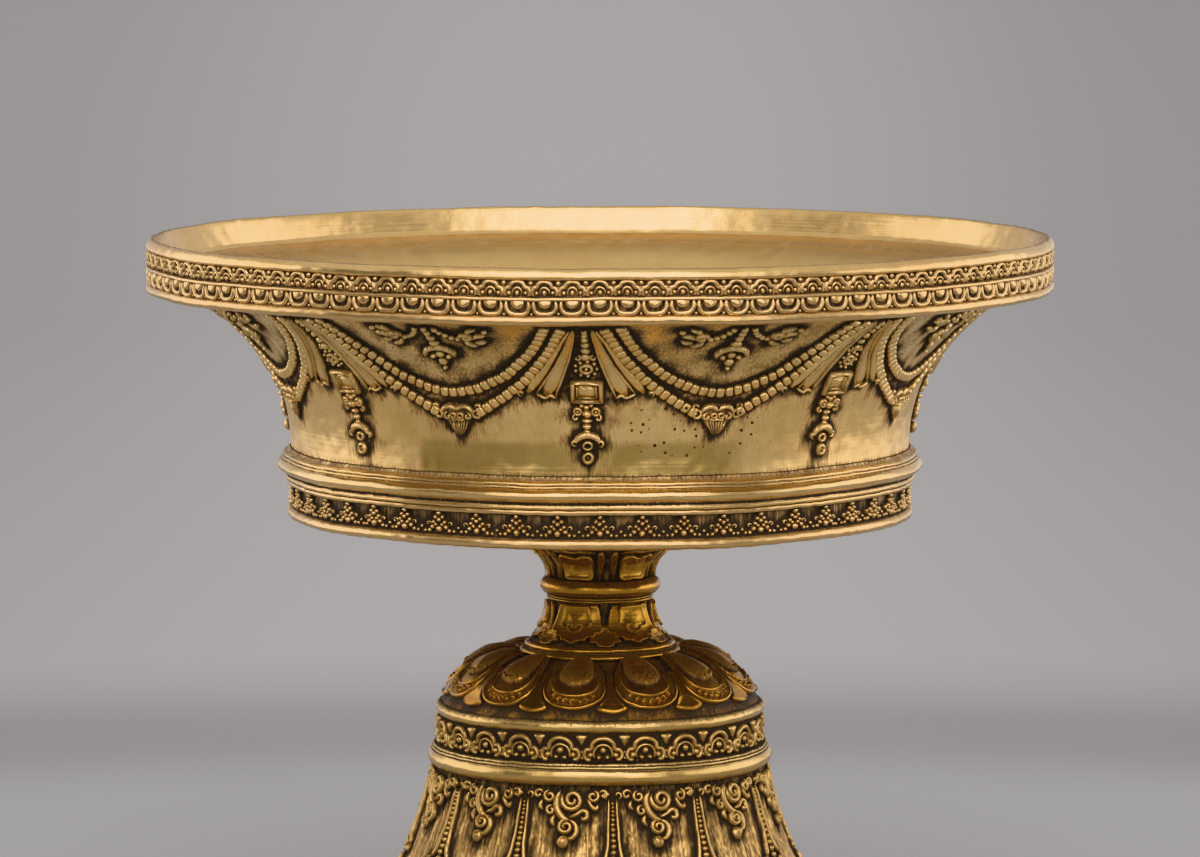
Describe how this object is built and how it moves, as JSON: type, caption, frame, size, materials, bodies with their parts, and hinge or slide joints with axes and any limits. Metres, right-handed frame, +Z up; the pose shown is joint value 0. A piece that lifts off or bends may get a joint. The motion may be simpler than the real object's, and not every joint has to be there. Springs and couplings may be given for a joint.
{
  "type": "butter lamp",
  "caption": "large brass butter lamp: flared basin with chased swags and beaded bands, screwed to a lotus stem on a bell-shaped foot, with a removable cotton wick",
  "frame": {"origin": "on the lamp's axis at the table, the centre of the foot's resting ring", "axes": "+Z up along the lamp's axis; the picture was taken from -Y, with +X to its right"},
  "size_m": [0.3, 0.3, 0.27],
  "materials": {
    "bowl_brass": "satin cast brass, golden, rubbed bright on the relief, dark brown patina in the recesses",
    "foot_brass": "satin cast brass with an amber-brown patina, dark in the recesses",
    "iron": "dark oiled iron",
    "seal_leather": "dark greased leather",
    "wick_wood": "plain split bamboo",
    "wick_cotton": "unbleached twisted cotton, charred at the tip"
  },
  "bodies": {
    "pedestal": {"foot_rim": "foot_brass", "foot_skirt": "foot_brass", "foot_ring": "foot_brass", "foot_band": "foot_brass", "foot_dome": "foot_brass", "stem_neck": "foot_brass", "stem_ring": "foot_brass", "stem_calyx": "foot_brass", "stem_core": "iron", "core_washer": "iron", "core_nut": "iron"},
    "seal": {"seat_seal": "seal_leather"},
    "bowl": {"basin": "bowl_brass", "rim_band": "bowl_brass", "basin_moulding": "bowl_brass", "drum_band": "bowl_brass", "bowl_stud": "iron", "socket_seal": "seal_leather", "wick_socket": "bowl_brass"},
    "wick": {"wick_stick": "wick_wood", "wick_cotton": "wick_cotton"}
  },
  "joints": [
    {"name": "seal_rise", "type": "slide", "parent": "pedestal", "child": "seal", "axis": [0, 0, 1], "range_m": [0, 0.016]},
    {"name": "bowl_turn", "type": "hinge", "parent": "seal", "child": "bowl", "pos_m": [0, 0, 0.17], "axis": [0, 0, 1], "range_deg": [0, 1440]},
    {"name": "wick_lift", "type": "slide", "parent": "bowl", "child": "wick", "axis": [0, 0, 1], "range_m": [0, 0.0875]}
  ],
  "couplings": [
    {"joint": "seal_rise", "follows": "bowl_turn", "m_per_rad": 0.00063662}
  ]
}
